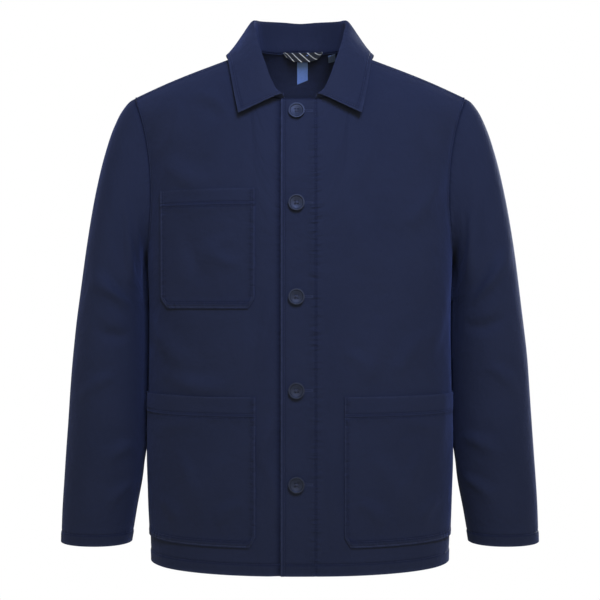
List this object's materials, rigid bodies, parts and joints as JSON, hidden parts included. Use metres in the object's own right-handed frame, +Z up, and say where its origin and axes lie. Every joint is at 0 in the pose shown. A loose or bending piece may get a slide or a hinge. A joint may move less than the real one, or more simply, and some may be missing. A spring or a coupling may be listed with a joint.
{
  "type": "chore jacket",
  "caption": "Navy cotton twill chore jacket with a turn-down collar, patch pockets and a buttoned front, filled out as worn.",
  "frame": {"origin": "middle of the neck, level with the shoulder line at the neck, where the wearer's shoulders hold the jacket", "axes": "+Z up, -Y to the front of the jacket, +X to the wearer's left"},
  "size_m": [0.659, 0.2547, 0.7546],
  "materials": {
    "twill": "soft navy cotton twill, matt",
    "button": "satin moulded button",
    "loop_tape": "dark woven tape with slanting light stripes",
    "woven_label": "blue woven tab, blank",
    "size_tab": "black woven tab, blank"
  },
  "bodies": {
    "root": {"back": "twill", "front_left": "twill", "front_right": "twill", "sleeve_left": "twill", "sleeve_right": "twill", "collar": "twill", "pocket_chest": "twill", "pocket_lower_right": "twill", "pocket_lower_left": "twill", "button_1": "button", "button_2": "button", "button_3": "button", "button_4": "button", "button_5": "button", "hanger_loop": "loop_tape", "neck_label": "woven_label", "size_label": "size_tab"}
  },
  "joints": []
}
